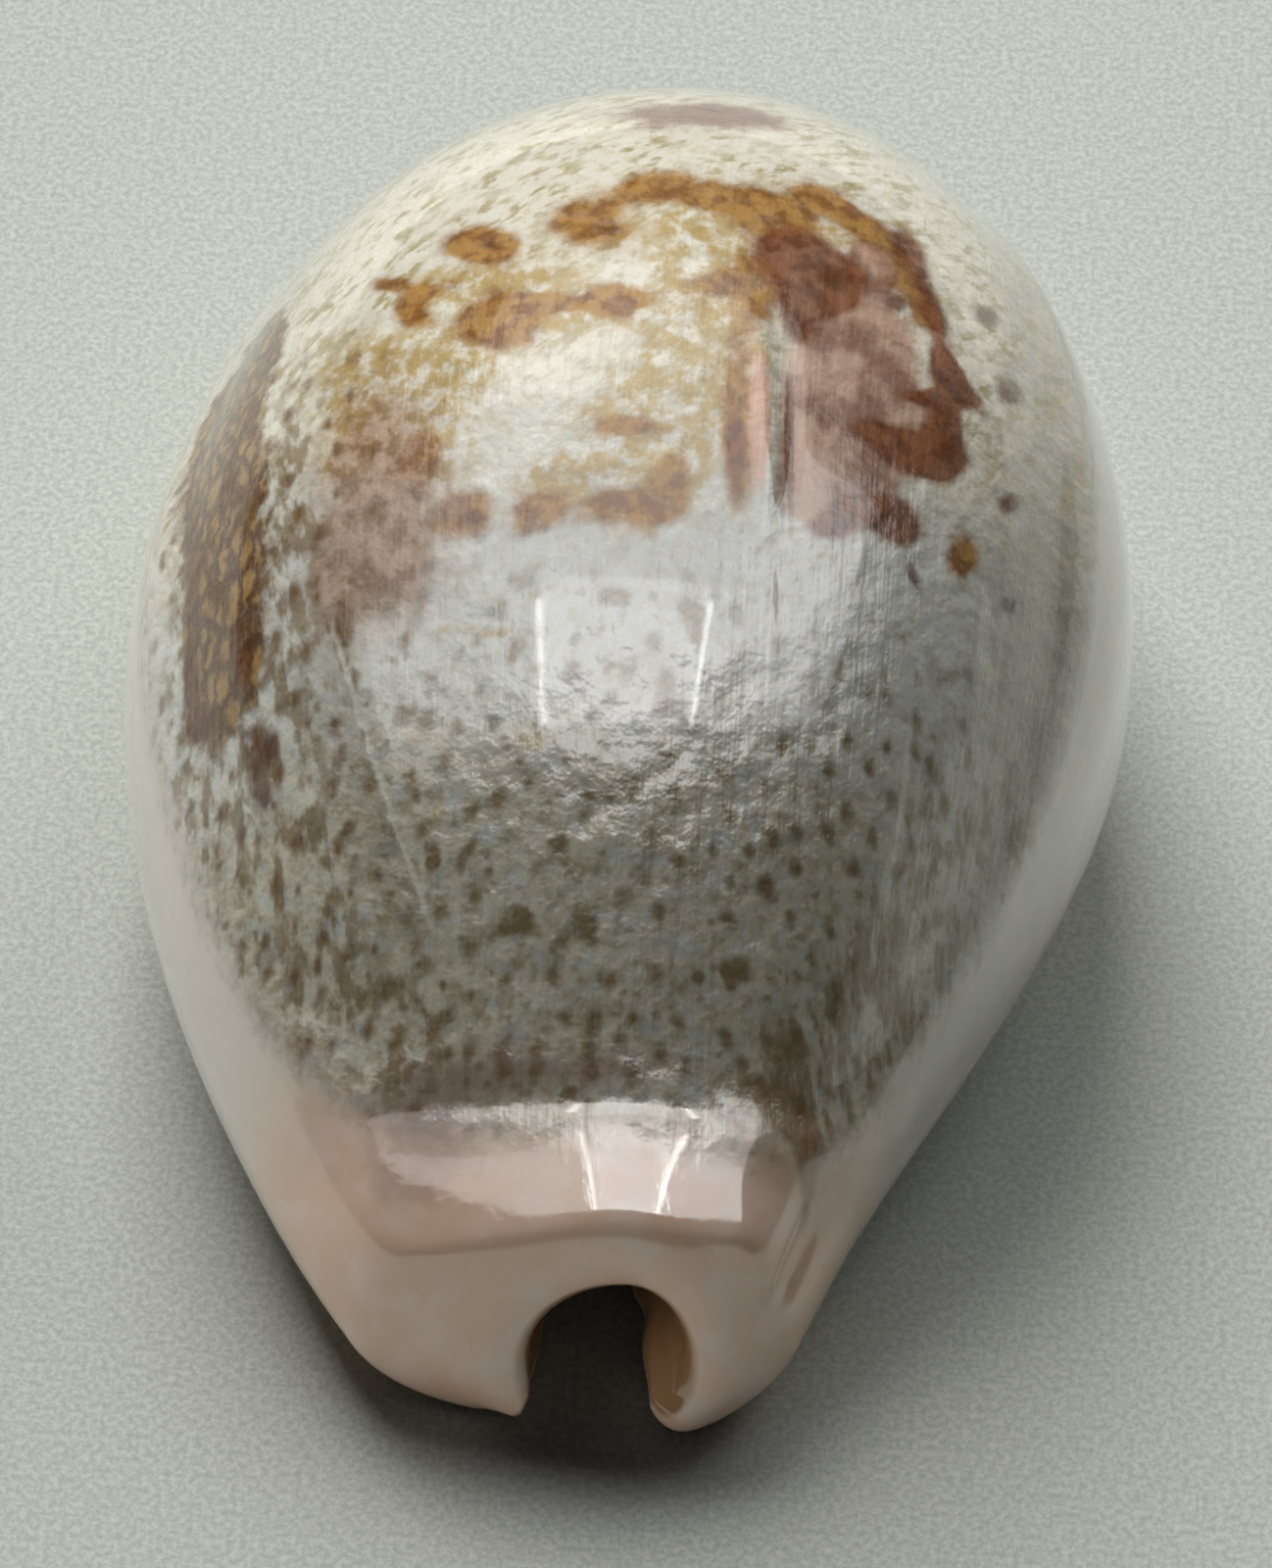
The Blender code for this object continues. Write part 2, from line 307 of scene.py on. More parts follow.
def shell_wall(side, at):
    """Outer and inner faces of the finished wall. Each is the middle of the wall plus half its
    thickness, which falls to nothing in a quarter circle at all four borders; the outer face is
    then lowered by the teeth, the thin enamel of the back, the scar and the growth steps."""
    outer = skin(side, at, False)
    inner = skin(side, at, True)
    share = np.abs(side)
    middle = outer + (0.5 + 0.3 * np.exp(-(at / 0.08) ** 2))[:, None, None] * (inner - outer)
    along = np.linalg.norm(np.diff(middle, axis=0), axis=-1)
    across = np.linalg.norm(np.diff(middle, axis=1), axis=-1)
    from_front = np.vstack([np.zeros((1, len(side))), np.cumsum(along, axis=0)])
    from_back = from_front[-1:] - from_front
    from_left = np.hstack([np.zeros((len(at), 1)), np.cumsum(across, axis=1)])
    from_right = from_left[:, -1:] - from_left
    from_lip = np.minimum(from_left, from_right)
    y = middle[..., 1]
    turn = 2 * np.pi * (y - TEETH_SPAN[0]) / TOOTH_PITCH + np.where(side < 0, 0, np.pi)
    ends = smooth((y - TEETH_SPAN[0] + 1) / 1.5) * smooth((TEETH_SPAN[1] + 1 - y) / 1.5)
    reach = np.where(side < 0, *TOOTH_REACH)
    groove = (0.5 - 0.5 * np.cos(turn)) * ends * smooth(1.4 - 1.4 * from_lip / reach)
    outer[..., 2] += TOOTH_DEPTH * groove
    away = np.sign(side) * TOOTH_SWING * groove
    for face in (outer, middle, inner):
        face[..., 0] += away
    over = into_enamel(side, at, y)
    lower = ENAMEL_STEP * (1 - smooth(over / 1.4))
    span = smooth((y - RIDGE_SPAN[0]) / 2.5) * smooth((RIDGE_SPAN[1] - y) / 1.2)
    off = (side - RIDGE_SIDE + RIDGE_DRIFT * y) / RIDGE_WIDTH
    rib = np.exp(-off ** 2) - 0.7 * np.exp(-(off - 1.3) ** 2)
    lower = lower - RIDGE_HEIGHT * span * rib
    for near, start, far, end, height, drop in GROWTH_STEPS:
        way = (y - start) / (end - start)
        line = near + (far - near) * way
        ends = smooth(way / 0.25 + 0.2) * smooth((1 - way) / 0.25 + 0.2)
        gone = smooth((side - line) * drop / 0.010 + 0.5)
        lower = lower + height * ends * gone * np.exp(-np.clip((side - line) * drop, 0, 1) / 0.05)
    nose = smooth((ENAMEL_FRONT - y) / 1.5) * smooth((y - NOSE_FRONT) / 1.5)
    hollow = np.where(side < 0, *FURROWS) * np.exp(-((share - FURROW_SIDE) / FURROW_WIDTH) ** 2)
    hollow = hollow * smooth((y - FURROW_FRONT) / 1.5)
    lower = lower + nose * (hollow - NOSE_HEIGHT * np.exp(-(side / NOSE_WIDTH) ** 2))
    finished = []
    for face, change in ((outer, lower), (inner, 0)):
        thick = np.linalg.norm(face - middle, axis=-1)
        shape = np.ones(thick.shape)
        for distance in (from_front, from_back, from_left, from_right):
            shape = shape * rounding(distance, thick)
        shape = shape * (1 - change / np.maximum(thick, 0.4))
        finished.append(middle + (face - middle) * shape[..., None])
    outer, inner = finished
    outer[..., 2] = np.maximum(under_roof(outer), 0)
    return outer, inner


def closed_faces(rows, columns):
    """Triangles of the two faces of the wall, which share the points of the border. The cut across
    each cell turns round in the four quarters, so that no corner gets the same triangle twice."""
    first = np.arange(rows * columns).reshape(rows, columns)
    second = first + rows * columns
    second[[0, -1]] = first[[0, -1]]
    second[:, [0, -1]] = first[:, [0, -1]]
    turned = (np.arange(rows - 1)[:, None] < rows // 2) == (np.arange(columns - 1) < columns // 2)
    faces = []
    for grid, order in ((first, [0, 1, 2]), (second, [2, 1, 0])):
        a, b = grid[:-1, :-1], grid[:-1, 1:]
        d, c = grid[1:, :-1], grid[1:, 1:]
        one = np.where(turned, [a, b, c], [a, b, d])
        two = np.where(turned, [a, c, d], [b, c, d])
        faces += [one[order].reshape(3, -1).T, two[order].reshape(3, -1).T]
    return np.concatenate(faces)


def crowded(start, end, count, places):
    """Numbers from start to end whose spacing shrinks near each place: the running sum of one plus
    a bell for each place, given as its middle, its width and its strength, is cut evenly."""
    fine = np.linspace(start, end, 20001)
    crowd = np.ones(len(fine))
    for middle, width, strength in places:
        crowd += strength * np.exp(-((fine - middle) / width) ** 2)
    run = np.concatenate([[0], np.cumsum((crowd[1:] + crowd[:-1]) / 2)])
    return np.interp(np.linspace(0, run[-1], count), run, fine)


# The wall is cut by lines along and round it, closer together at the rims, the nose, the rib and
# the crest. One of those along it runs on the crest itself.
ROWS = 224
COLUMNS = 222
FRONT, HIND = STATIONS[0, 0], STATIONS[-1, 0]
CLOSE_ROWS = [(FRONT, 0.7, 3), (HIND, 0.6, 2), (-13.5, 2.2, 0.5), (-1, 5, 0.3)]
CLOSE_COLUMNS = [(-1, 0.05, 3), (1, 0.05, 3), (0.10, 0.05, 3), (0, 0.42, 1.2)]

lines = crowded(FRONT, HIND, ROWS, CLOSE_ROWS)
side = crowded(-1, 1, COLUMNS, CLOSE_COLUMNS)
side[np.argmin(np.abs(side))] = 0
way = np.linspace(0, 1, 4001)
at = np.interp(lines, through(STATIONS, way)[:, 0], way)
outer, inner = shell_wall(side, at)
raw = np.concatenate([outer.reshape(-1, 3), inner.reshape(-1, 3)])
triangles = closed_faces(len(at), len(side))
used, triangles = np.unique(triangles, return_inverse=True)
triangles = triangles.reshape(-1, 3)

# The stations are given about another middle than the model's. Millimetres become metres.
MIDDLE = np.array([-0.2785, 0.1476, 0.0])
points = (raw[used] - MIDDLE) / 1000

body = bpy.data.meshes.new("shell wall")
body.from_pydata(points.tolist(), [], triangles.tolist())
body.polygons.foreach_set("use_smooth", np.ones(len(triangles), bool))
body.update()

# Places on the outer face, measured along it: round the shell from the crest, and along it from
# the middle. The inner face takes the same values, and is told apart by its own mark.
round_step = np.linalg.norm(np.diff(outer, axis=1), axis=-1)
along_step = np.linalg.norm(np.diff(outer, axis=0), axis=-1)
around = np.hstack([np.zeros((len(at), 1)), np.cumsum(round_step, axis=1)])
around -= around[:, [np.argmin(np.abs(side))]]
along = np.vstack([np.zeros((1, len(side))), np.cumsum(along_step, axis=0)])
along -= along[[np.argmin(np.abs(outer[:, len(side) // 2, 1]))]]


def mark_points(name, outside, inside=0.0):
    """Stores one number for each point of the wall, for its material to read."""
    both = np.concatenate([outside.ravel(), np.broadcast_to(inside, outside.shape).ravel()])
    body.attributes.new(name, "FLOAT", "POINT").data.foreach_set("value", both[used])


mark_points("around", around, around)
mark_points("along", along, along)
mark_points("enamel", into_enamel(side, at, outer[..., 1]), 3.0)
mark_points("inside", np.zeros(around.shape), 1.0)

# The colours under the enamel. The animal laid them down from both sides with its mantle: small
# olive flecks all over, a large brown blotch on the back, and plain bands between.
# Each blotch is a group of soft hills that run together: middle around and along, half length,
# half width in millimetres, and turn in degrees.
BLOTCHES = {
    # The large blotch: a pale gold wash under gold lobes.
    "pale_gold": [
        [0.6, 3.2, 1.1, 0.5, -85], [0.6, 1.7, 1.3, 0.4, 6], [0.8, -0.4, 1.3, 1.0, 10],
        [0.0, -2.3, 1.0, 0.8, 2], [-1.8, -2.3, 0.7, 0.3, -4], [-1.9, 1.6, 0.9, 0.5, -5],
        [-4.9, 1.0, 0.9, 0.45, -23], [-4.2, -0.6, 0.6, 0.15, -84], [-1.4, 4.1, 1.0, 0.8, -25],
        [-3.7, -8.9, 0.35, 0.19, -17], [-4.4, -7.2, 0.27, 0.15, -19],
        [-1.9, -7.6, 0.5, 0.24, -6], [3.4, 5.0, 1.6, 0.8, -20], [-2.6, 2.6, 1.2, 0.5, -20],
        [2.0, 1.0, 1.4, 0.5, -85], [-3.2, -5.3, 1.3, 0.12, -10], [1.2, 3.4, 1.2, 0.9, 86],
        [-2.9, 1.6, 0.8, 0.7, -6], [0.7, -0.2, 1.4, 0.8, -87], [-0.2, -1.9, 1.2, 0.9, -10],
        [-4.7, 2.6, 0.9, 0.7, -11], [-3.8, 0.5, 0.9, 0.7, -32], [-4.0, -1.4, 0.9, 0.8, 0],
        [-6.5, 1.0, 1.2, 0.8, -40], [-6.2, -0.8, 1.0, 0.8, 0],
    ],
    "gold": [
        [-0.4, 5.2, 0.8, 0.4, 31], [1.1, 5.0, 0.9, 0.4, 3], [2.4, 4.7, 0.8, 0.6, 1],
        [3.3, 5.7, 0.5, 0.4, -5], [4.3, 5.2, 0.6, 0.4, -30], [4.9, 4.6, 0.5, 0.35, -84],
        [5.3, 4.2, 0.5, 0.3, -59], [5.9, 3.2, 0.5, 0.3, -60], [-1.4, 4.0, 0.8, 0.5, -25],
        [1.4, 2.5, 0.55, 0.25, 19], [-0.8, 1.8, 0.35, 0.3, -22], [2.2, 2.7, 0.8, 0.5, -87],
        [-3.7, 3.7, 0.8, 0.42, -24], [-3.0, 1.5, 0.7, 0.5, -66], [-1.9, 1.8, 0.6, 0.2, -5],
        [-5.7, 3.2, 0.5, 0.18, -29], [-5.0, 2.0, 0.4, 0.22, -31], [-4.5, -1.5, 0.5, 0.35, -89],
        [-3.5, -2.9, 0.6, 0.45, -26], [-2.1, -3.1, 0.3, 0.25, -70], [-0.1, -2.9, 0.9, 0.35, 2],
        [0.7, -2.3, 0.6, 0.3, 80], [-0.3, -1.2, 0.6, 0.22, 2], [2.0, -0.8, 1.6, 0.3, -87],
        [7.4, -1.9, 0.5, 0.3, 60], [-0.5, 1.9, 0.5, 0.26, 0], [-4.9, 2.6, 0.56, 0.25, 4],
        [-1.8, -2.9, 0.33, 0.28, -21], [-3.1, 1.5, 0.7, 0.4, 3], [-3.8, 3.8, 0.6, 0.3, -24],
    ],
    # Its right side: mauve with rust lobes and the darkest spots.
    "mauve": [
        [3.9, -0.1, 1.9, 0.9, -89], [4.8, 1.6, 1.5, 1.0, 83], [5.6, 0.0, 1.3, 0.7, 28],
        [4.3, -1.7, 1.1, 0.8, 34], [4.5, 4.0, 0.6, 0.5, -88],
    ],
    "rust": [
        [2.6, 3.8, 0.7, 0.55, 38], [3.3, 3.3, 0.8, 0.7, 5], [3.8, 3.3, 0.6, 0.45, 61],
        [3.1, 1.9, 0.65, 0.35, -77], [3.5, 2.6, 0.6, 0.4, 32], [6.6, 0.6, 0.9, 0.35, 89],
        [6.6, 0.0, 0.6, 0.4, 45], [6.0, 1.0, 0.6, 0.15, 22], [7.0, 1.8, 0.8, 0.25, -27],
        [5.8, -0.4, 0.7, 0.25, 12], [5.5, -1.9, 0.55, 0.4, -5], [4.1, -2.6, 0.45, 0.2, 19],
        [2.0, -1.5, 0.96, 0.2, -87], [5.4, 5.0, 0.7, 0.45, -70], [6.1, 3.4, 0.8, 0.32, -65],
        [6.6, 1.8, 0.65, 0.3, -71], [6.1, -0.4, 0.85, 0.3, 19], [5.1, -0.2, 0.7, 0.22, 14],
        [5.6, -2.0, 0.45, 0.3, 18], [4.4, -2.1, 0.5, 0.25, 22],
    ],
    "dark": [
        [5.2, 3.2, 0.33, 0.24, 52], [7.6, 4.3, 0.48, 0.3, 39], [8.3, 2.5, 0.55, 0.36, 65],
        [8.6, -0.2, 0.4, 0.2, 36], [6.1, -2.9, 0.3, 0.15, -60], [8.9, -2.2, 0.3, 0.15, 34],
        [-3.3, -3.0, 0.3, 0.18, -16], [-3.5, 3.7, 0.3, 0.15, -40], [-1.0, 3.8, 0.25, 0.13, -8],
        [3.7, 3.3, 0.35, 0.3, 61], [3.1, 1.7, 0.35, 0.25, -77], [6.8, 0.1, 0.35, 0.25, 70],
        [5.8, 4.4, 0.3, 0.12, -50],
    ],
    # The left: a mauve cloud, the brown net patch on the flank, and its dark edges.
    "left_mauve": [[-5.4, -1.6, 1.9, 1.3, -62], [-5.6, -3.8, 1.4, 0.9, -30]],
    "left_net": [
        [-10.6, 1.4, 2.6, 1.2, -70], [-9.9, -2.0, 2.2, 1.2, -73], [-9.8, -4.3, 1.3, 0.9, -60],
        [-9.6, 3.8, 1.3, 0.6, -60],
    ],
    "left_dark": [
        [-11.1, -1.0, 1.5, 0.35, -76], [-10.9, -3.7, 1.0, 0.35, -84],
        [-9.0, -0.9, 0.44, 0.24, -49], [-9.0, -4.0, 0.62, 0.33, -74],
        [-10.0, -5.0, 0.7, 0.2, -26], [-8.2, -6.2, 0.57, 0.34, -40], [-8.2, -7.0, 0.5, 0.2, -53],
    ],
    # A brownish stain over the sunken spire.
    "spire": [[0.6, 8.5, 1.9, 0.95, 6]],
    # Brown haze and thin pale lines of growth low on both flanks.
    "haze": [
        [7.9, -7.4, 1.8, 0.7, 85], [6.4, -10.4, 1.9, 0.9, 48], [-6.9, -9.1, 2.4, 0.9, -64],
        [-4.7, -12.9, 1.4, 0.9, -49], [4.5, -12.6, 1.6, 0.8, 39], [-8.4, -6.0, 1.6, 0.7, -60],
    ],
    "pale_lines": [[6.1, -8.4, 1.3, 0.15, 86], [2.9, -4.6, 0.8, 0.15, -85]],
    # The scar on the back: a dark line, and the pink strip beside it, which also paints the
    # highlight on the lit side of the rib.
    "scar": [[3.15, -1.0, 1.7, 0.10, -87], [3.0, -4.3, 0.6, 0.05, -85]],
    "strip": [[2.45, -0.7, 1.5, 0.22, -87]],
    # Mauve and gold patches over the thick enamel of the front end.
    "end_mauve": [
        [-4.0, -15.2, 1.3, 0.8, -47], [-2.4, -14.3, 1.4, 0.5, -6], [0.3, -14.3, 1.2, 0.25, 7],
        [-0.5, -16.1, 1.0, 0.12, -83],
    ],
    "end_gold": [[3.5, -13.9, 1.2, 0.35, 10], [4.3, -14.3, 0.8, 0.35, -50]],
}

# Flecks: middle around and along, and half width. These stand where the eye meets them first;
# the rest of the flank and the front are filled in by chance, but never closer than a gap.
FLECKS = [
    [-6.4, 1.4, 0.22], [-9.2, 2.6, 0.15], [-7.5, 1.2, 0.20], [-6.9, -0.1, 0.18],
    [-6.5, -0.8, 0.20], [-5.6, -0.1, 0.14], [-5.7, -1.1, 0.14], [-6.4, -1.8, 0.17],
    [-5.6, -2.4, 0.16], [-6.8, -2.5, 0.20], [-5.1, -3.1, 0.14], [-7.9, -4.3, 0.26],
    [-8.1, -4.9, 0.22], [-7.0, -4.8, 0.24], [-8.3, -3.0, 0.24], [-6.9, -6.2, 0.15],
    [-6.2, -7.7, 0.20], [-5.7, -8.5, 0.16], [-7.1, -8.4, 0.20], [-6.0, -8.8, 0.19],
    [-8.8, -7.5, 0.20], [-7.7, -8.8, 0.20], [-7.0, -9.2, 0.15], [-5.1, -9.7, 0.16],
    [-4.5, -12.9, 0.22], [-0.7, -11.2, 0.24], [-0.5, -11.6, 0.17], [-1.2, -9.8, 0.25],
    [-6.1, -4.3, 0.34], [-4.4, -4.7, 0.22], [-4.0, -6.1, 0.15], [-3.4, -7.2, 0.18],
    [1.4, -7.1, 0.28], [4.0, -5.9, 0.30], [3.1, -5.2, 0.24], [4.8, -6.6, 0.18],
    [4.4, -7.3, 0.18], [3.0, -8.1, 0.17], [4.9, -7.9, 0.21], [5.6, -8.1, 0.18],
    [3.2, -9.0, 0.22], [2.7, -9.4, 0.15], [3.1, -10.0, 0.26], [3.7, -10.4, 0.17],
    [4.7, -10.2, 0.17], [6.0, -9.2, 0.20], [2.3, -10.9, 0.22], [0.8, -12.3, 0.23],
    [-0.1, -12.6, 0.19], [1.7, -12.2, 0.16], [4.3, -10.9, 0.17], [5.0, -11.0, 0.19],
    [6.2, -9.7, 0.20], [7.6, -8.8, 0.24], [6.4, -8.4, 0.18], [1.3, -13.3, 0.18],
    [2.3, -13.2, 0.20], [3.2, -12.8, 0.21], [4.9, -11.5, 0.19], [0.7, -9.6, 0.24],
    [1.1, -8.6, 0.20], [2.1, -8.0, 0.22], [3.4, -7.2, 0.20], [-0.5, -8.1, 0.18],
    [0.6, -10.4, 0.18],
]
FLECK_SPACING = 0.76
FLECK_GAP = 0.58
FLECK_SIZES = (0.10, 0.22)
FLECK_SEED = 11


def hills(marks):
    """Sum of soft hills, one for each mark: the exponential of minus 0.7 times the square of the
    distance from its middle, counted in its half sizes."""
    total = np.zeros(around.shape)
    for across, length, half_length, half_width, turn in marks:
        cosine, sine = math.cos(math.radians(turn)), math.sin(math.radians(turn))
        first = ((around - across) * cosine + (along - length) * sine) / half_length
        second = ((along - length) * cosine - (around - across) * sine) / half_width
        total += np.exp(-0.7 * (first ** 2 + second ** 2))
    return total


def scattered(known, spacing, gap, seed):
    """Round marks on a lattice of shifted rows, each moved by chance, apart from those that would
    fall closer than the gap to a known one."""
    chance = np.random.default_rng(seed)
    rows, columns = np.arange(-20, 13, spacing), np.arange(-15, 14, spacing)
    rows, columns = np.meshgrid(rows, columns, indexing="ij")
    columns[1::2] += spacing / 2
    places = np.stack([columns.ravel(), rows.ravel()], axis=1)
    places += chance.uniform(-0.42, 0.42, places.shape) * spacing
    sizes = chance.uniform(*FLECK_SIZES, len(places))
    taken = np.array(known)[:, :2]
    nearest = np.linalg.norm(places[:, None] - taken[None], axis=-1).min(axis=1)
    return [[x, y, size] for (x, y), size, away in zip(places, sizes, nearest) if away > gap]


def dots(marks):
    """Sum of hills as above, each a little longer along the shell than it is wide."""
    total = np.zeros(around.shape)
    for across, length, size in marks:
        near = (np.abs(around - across) < 1) & (np.abs(along - length) < 1)
        square = (around[near] - across) ** 2 + 0.7 * (along[near] - length) ** 2
        total[near] += np.exp(-0.7 * square / size ** 2)
    return total


for name, marks in BLOTCHES.items():
    mark_points(name, hills(marks))
mark_points("flecks", dots(FLECKS) + dots(scattered(FLECKS, FLECK_SPACING, FLECK_GAP, FLECK_SEED)))

# Colours of the layers, in the order in which they are laid: first the ground and its clouds.
HIND_WHITE = tint(215, 210, 193)
MIDDLE_WHITE = tint(208, 209, 201)
FRONT_WHITE = tint(203, 197, 178)
FLANK_GREY_AND_SHADE = tint(168, 163, 150)
MOTTLE_TAN = tint(186, 172, 132)
STREAK_OLIVE = tint(160, 146, 104)
CLOUD_TAN = tint(150, 134, 100)
CLOUD_BLUE = tint(186, 196, 198)
LEAF_BROWN = tint(120, 96, 54)

# The blotches, each from light to dark.
PALE_GOLD = tint(174, 148, 92)
GOLD_LIGHT = tint(164, 122, 62)
GOLD_DARK = tint(122, 79, 34)
MAUVE_LIGHT = tint(176, 141, 120)
MAUVE_DARK = tint(122, 79, 60)
RUST_LIGHT = tint(126, 78, 48)
RUST_DARK = tint(94, 52, 30)
SPOT_BROWN = tint(88, 50, 22)
LEFT_LIGHT = tint(178, 146, 124)
LEFT_SHADE = tint(134, 98, 70)
SPIRE_BROWN = tint(130, 98, 88)

# The net patch, the flecks, the painted shadow and highlight at the edge of growth, and the scar.
NET_BROWN = tint(90, 56, 28)
NET_ISLAND = tint(156, 122, 70)
NET_EDGE = tint(92, 54, 32)
FLECK_OLIVE = tint(118, 97, 50)
FLECK_BROWN = tint(108, 76, 38)
FLECK_PALE = tint(120, 104, 66)
EDGE_PAINTED_SHADOW = tint(118, 102, 74)
PALE_LINES_AND_EDGE_HIGHLIGHT = tint(214, 212, 198)
# The pink of the rib is partly painted highlight.
SCAR_PINK_AND_HIGHLIGHT = tint(204, 160, 138)
SCAR_BROWN = tint(96, 60, 42)

# The thick enamel, the patches over it, and the inner face.
MARGIN_LEFT = tint(232, 222, 210)
# The right margin is greyer and darker: partly its own tone, partly painted shade of the side that
# the lamps light less.
MARGIN_RIGHT_AND_SHADE = tint(204, 201, 190)
MARGIN_FRONT = tint(232, 196, 170)
MARGIN_CLOUD = tint(238, 220, 210)
END_MAUVE = tint(138, 100, 82)
END_GOLD = tint(136, 100, 58)
INNER_TAN = tint(160, 118, 72)

# Gloss: how strongly glass bends light in the enamel and in its top coat, how rough the coat is,
# and the height of the relief in metres.
ENAMEL_IOR = 1.65
COAT_IOR = 1.6
COAT_ROUGHNESS = 0.07
RELIEF_HEIGHT = 0.00002

enamel, steps, surface = blank("shell enamel")


def maths(tree, operation, *values):
    """Joins numbers by one operation."""
    return part(tree, "Math", dict(enumerate(values)), operation=operation)


def times(tree, *values):
    """Multiplies numbers."""
    total = values[0]
    for value in values[1:]:
        total = maths(tree, "MULTIPLY", total, value)
    return total


NAMES = ["around", "along", "enamel", "inside", "flecks", *BLOTCHES]
read = {name: part(steps, "Attribute", {}, "Fac", attribute_name=name) for name in NAMES}
place = part(steps, "TexCoord", {}, "Object")
mm = part(steps, "VectorMath", {0: place, 1: (1000, 1000, 1000)}, operation="MULTIPLY")
face = part(steps, "CombineXYZ", {"X": read["around"], "Y": read["along"], "Z": read["inside"]})


def noises(tree, **settings):
    """Cloudy noise in millimetres: its colour, and the three numbers that make the colour up."""
    made = part(tree, "TexNoise", {"Vector": mm, **settings}, "Color")
    return [made] + [part(tree, "SeparateXYZ", {0: made}, name) for name in "XYZ"]


def weighed(tree, x, y):
    """The place on the face, with its two measures weighed and added up."""
    weights = (x, y, 0)
    return part(tree, "VectorMath", {0: face, 1: weights}, "Value", operation="DOT_PRODUCT")


def scaled(tree, vector, x, y, z):
    """A place or a shift with its three measures made larger or smaller."""
    return part(tree, "VectorMath", {0: vector, 1: (x, y, z)}, operation="MULTIPLY")


# Three sizes of noise, broad, middling and fine, push the edges of every mark about.
broad_r, broad_g, broad_b = noises(steps, Scale=1.0, Detail=3.0)[1:]
cloud_r, cloud_g, cloud_b = noises(steps, Scale=2.2, Detail=4.0, Roughness=0.6)[1:]
fine, fine_r, fine_g, fine_b = noises(steps, Scale=3.6, Detail=3.0)


def stained(tree, name, noise, amount, none=0.42, full=0.62, second=None, share=0.0):
    """Strength of a stain: its hills and the noise around them, cut off softly at half height."""
    level = maths(tree, "MULTIPLY_ADD", noise, amount, read[name])
    none, full = none + amount / 2, full + amount / 2
    if second is not None:
        level = maths(tree, "MULTIPLY_ADD", second, share, level)
        none, full = none + share / 2, full + share / 2
    return fade(tree, level, none, full)


# Ground: white behind, bluish white across the middle, greyer in front, and grey low on the right,
# partly its own tone and partly painted shade.
middle_band = fade(steps, read["along"], 1.0, -3.5)
front_part = fade(steps, maths(steps, "MULTIPLY_ADD", broad_r, 3.0, read["along"]), -3.5, -7.5)
ground = lay(steps, HIND_WHITE, MIDDLE_WHITE, middle_band)
ground = lay(steps, ground, FRONT_WHITE, front_part)
# The grey low on the right flank is partly painted shade of the side that the lamps light less.
right_flank_grey_and_shade = fade(steps, maths(steps, "MULTIPLY_ADD", broad_g, 2.0, read["around"]), 8.2, 10.6)
ground = lay(steps, ground, FLANK_GREY_AND_SHADE, times(steps, right_flank_grey_and_shade, 0.85))
ground = lay(steps, ground, MOTTLE_TAN, times(steps, fade(steps, fine_r, 0.5, 0.72), 0.45))

# Pale olive mottling of the hind part, in short streaks that lean, and rounder tan and bluish
# clouds over the front half.
leaning = times(steps, weighed(steps, 1.0, 0.75), 1.5)
crossing = times(steps, weighed(steps, -0.75, 1.0), 3.0)
streak_place = part(steps, "CombineXYZ", {"X": leaning, "Y": crossing, "Z": broad_r})
streaks = part(steps, "TexNoise", {"Vector": streak_place, "Scale": 1.0, "Detail": 3.5})
streaks = times(steps, fade(steps, streaks, 0.47, 0.62), fade(steps, broad_b, 0.25, 0.65))
hind = fade(steps, read["along"], -3.0, 2.0)
streak_share = times(steps, streaks, hind, 0.9)
ground = lay(steps, ground, STREAK_OLIVE, streak_share)
tan_clouds = times(steps, fade(steps, cloud_r, 0.46, 0.66), front_part, 0.6)
ground = lay(steps, ground, CLOUD_TAN, tan_clouds)
blue_clouds = times(steps, fade(steps, cloud_g, 0.50, 0.64), front_part, 0.5)
ground = lay(steps, ground, CLOUD_BLUE, blue_clouds)

# Brown haze low on both flanks, in upright streaks.
haze = stained(steps, "haze", cloud_b, 0.9, 0.0, 0.8)
left_flank = times(steps, fade(steps, read["around"], -5.0, -7.5),
                   fade(steps, read["around"], -12.4, -11.4), fade(steps, read["along"], 3.0, -1.0))
haze = maths(steps, "MAXIMUM", haze, left_flank)
leaf_place = part(steps, "CombineXYZ", {"X": weighed(steps, 2.3, 0.6),
                                        "Y": times(steps, read["along"], 1.2), "Z": broad_g})
leaves = part(steps, "TexNoise", {"Vector": leaf_place, "Scale": 1.0, "Detail": 3.5})
leaves = fade(steps, leaves, 0.44, 0.60)
ground = lay(steps, ground, LEAF_BROWN, times(steps, haze, leaves, 0.75))

# Blotches, from the palest wash to the darkest lobes.
pale = stained(steps, "pale_gold", cloud_g, 0.8, 0.25, 0.95, broad_g, 0.6)
pale = times(steps, pale, fade(steps, cloud_b, 0.36, 0.58), 0.9)
paint = lay(steps, ground, PALE_GOLD, pale)
gold = stained(steps, "gold", cloud_r, 0.8, 0.08, 0.70, broad_r, 0.6)
gold_tone = lay(steps, GOLD_LIGHT, GOLD_DARK, fade(steps, cloud_g, 0.40, 0.62))
paint = lay(steps, paint, gold_tone, times(steps, gold, 0.95))
mauve = stained(steps, "mauve", cloud_g, 0.5, 0.3, 0.7, broad_b, 0.4)
mauve_tone = lay(steps, MAUVE_LIGHT, MAUVE_DARK, fade(steps, broad_r, 0.40, 0.62))
paint = lay(steps, paint, mauve_tone, times(steps, mauve, 0.88))
rust = stained(steps, "rust", cloud_b, 0.6, 0.2, 0.8, broad_g, 0.4)
rust_tone = lay(steps, RUST_LIGHT, RUST_DARK, fade(steps, cloud_r, 0.4, 0.62))
paint = lay(steps, paint, rust_tone, times(steps, rust, 0.92))
dark = stained(steps, "dark", fine_g, 0.5, 0.2, 0.85)
